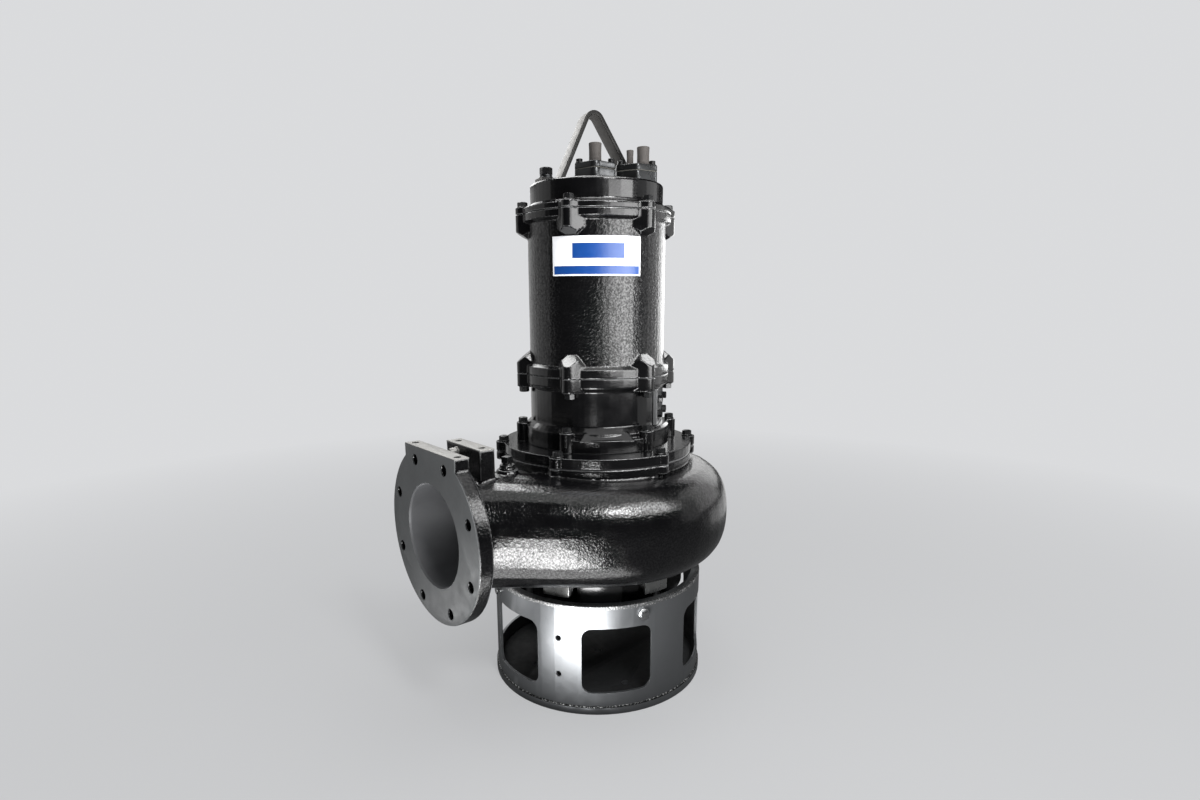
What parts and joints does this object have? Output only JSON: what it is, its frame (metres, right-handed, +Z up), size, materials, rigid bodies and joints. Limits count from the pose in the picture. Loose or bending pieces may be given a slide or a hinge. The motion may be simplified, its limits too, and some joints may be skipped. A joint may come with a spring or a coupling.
{
  "type": "submersible pump",
  "caption": "Upright submersible sewage pump with a strainer skirt, a spiral casing with a side discharge flange, an oil chamber, a motor and a lifting bail.",
  "frame": {"origin": "on the pump's axis, at the underside of the base plate", "axes": "+Z up along the pump's axis, -X out of the discharge flange"},
  "size_m": [0.6658, 0.5322, 1.182],
  "materials": {
    "black_iron": "gloss black paint over rough sand-cast iron",
    "skirt_steel": "satin grey metallic paint on rolled steel plate",
    "bail_steel": "satin grey metallic paint on flat bar",
    "stainless": "bright stainless steel",
    "black_steel": "black-painted bolt",
    "grey_rubber": "matt moulded rubber",
    "label": "glossy printed film"
  },
  "bodies": {
    "root": {"base_plate": "skirt_steel", "strainer_skirt": "skirt_steel", "suction_cover": "black_iron", "skirt_bolt_1": "stainless", "skirt_bolt_2": "stainless", "skirt_bolt_3": "stainless", "skirt_bolt_4": "stainless", "volute_casing": "black_iron", "casing_cover": "black_iron", "vent_plug": "black_iron", "oil_chamber": "black_iron", "inspection_cover": "black_iron", "motor_casing": "black_iron", "nameplate": "label", "motor_cover": "black_iron", "lifting_bail": "bail_steel", "bail_bolt_1": "black_steel", "bail_bolt_2": "black_steel", "power_gland_body": "black_iron", "power_gland_cap": "black_iron", "power_cable_sleeve": "grey_rubber", "sensor_gland_body": "black_iron", "sensor_gland_cap": "black_iron", "sensor_sleeve_large": "grey_rubber", "sensor_sleeve_small": "grey_rubber"}
  },
  "joints": []
}
